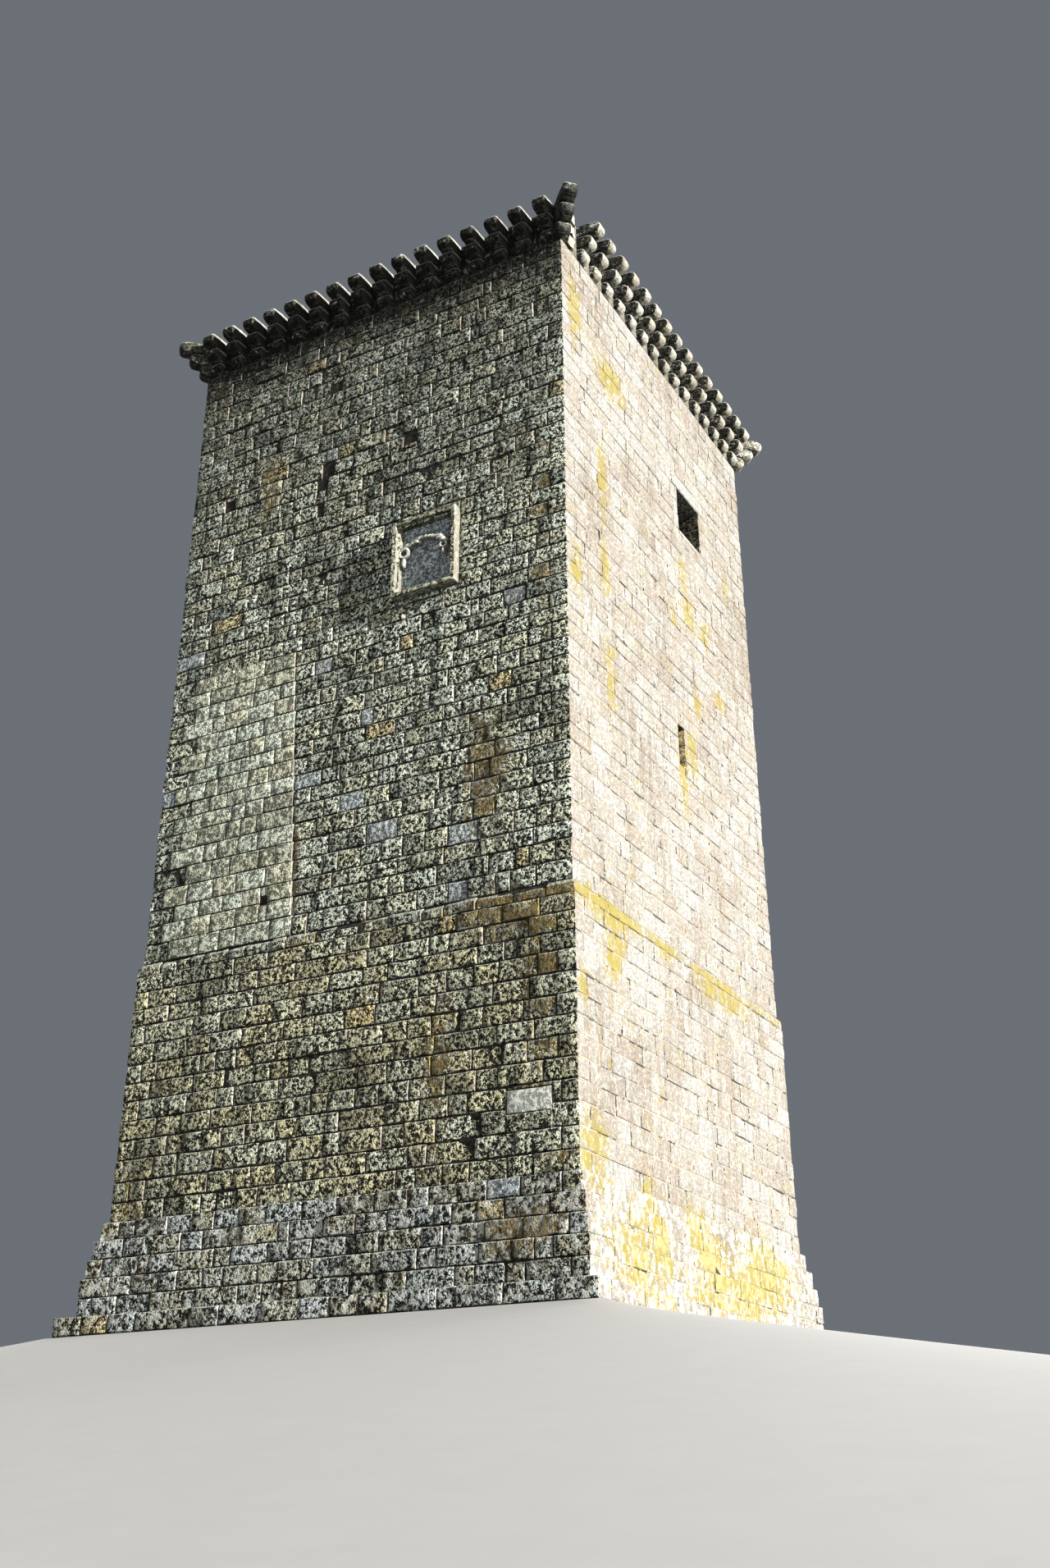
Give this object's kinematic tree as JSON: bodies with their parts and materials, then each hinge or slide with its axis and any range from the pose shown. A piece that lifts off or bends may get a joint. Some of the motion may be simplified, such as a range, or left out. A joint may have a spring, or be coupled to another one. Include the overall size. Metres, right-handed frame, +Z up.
{
  "type": "castle keep",
  "caption": "Square granite castle keep on a stepped plinth, with a set-back shaft, framed blank tablet, window, arrow slits, raised doorway and a crown of round-nosed corbels.",
  "frame": {"origin": "middle of the keep's footprint, at the foot of the lowest footing course", "axes": "+Z up, -Y out of the front with the framed tablet, +X out of the side with the window"},
  "size_m": [9.7172, 9.7172, 20.049],
  "materials": {
    "plinth_stone": "rough weathered granite with lichen",
    "shaft_stone": "coursed granite ashlar, rough and weathered",
    "reface_stone": "smoother dressed granite",
    "dressed_stone": "dressed pale granite",
    "corbel_stone": "dark lichen-covered granite",
    "head_stone": "rough weathered granite",
    "tablet_stone": "carved granite, worn",
    "paving_stone": "worn granite paving",
    "floor_timber": "old unfinished oak"
  },
  "bodies": {
    "root": {"plinth_front": "plinth_stone", "plinth_right": "plinth_stone", "plinth_back": "plinth_stone", "plinth_left": "plinth_stone", "base_wall_front": "shaft_stone", "base_wall_right": "shaft_stone", "base_wall_back": "shaft_stone", "base_wall_left": "shaft_stone", "offset_front": "dressed_stone", "offset_right": "dressed_stone", "offset_back": "dressed_stone", "offset_left": "dressed_stone", "front_wall": "shaft_stone", "front_refacing": "reface_stone", "right_wall_lower": "shaft_stone", "right_slit_piers": "shaft_stone", "right_wall_middle": "shaft_stone", "right_window_piers": "shaft_stone", "window_lintel": "dressed_stone", "right_wall_upper": "shaft_stone", "left_wall_lower": "shaft_stone", "left_slit_piers": "shaft_stone", "left_wall_upper": "shaft_stone", "slit_sills": "dressed_stone", "back_wall_lower": "shaft_stone", "back_door_piers": "shaft_stone", "back_wall_upper": "shaft_stone", "door_jambs": "dressed_stone", "door_arch": "dressed_stone", "wall_head_front": "head_stone", "wall_head_right": "head_stone", "wall_head_back": "head_stone", "wall_head_left": "head_stone", "front_corbels": "corbel_stone", "right_corbels": "corbel_stone", "back_corbels": "corbel_stone", "left_corbels": "corbel_stone", "tablet_frame": "dressed_stone", "tablet_slab": "tablet_stone", "tablet_relief": "tablet_stone", "plaque_stone": "reface_stone", "floor_beams": "floor_timber", "entrance_floor": "floor_timber", "upper_floor": "floor_timber", "roof_paving": "paving_stone"}
  },
  "joints": []
}
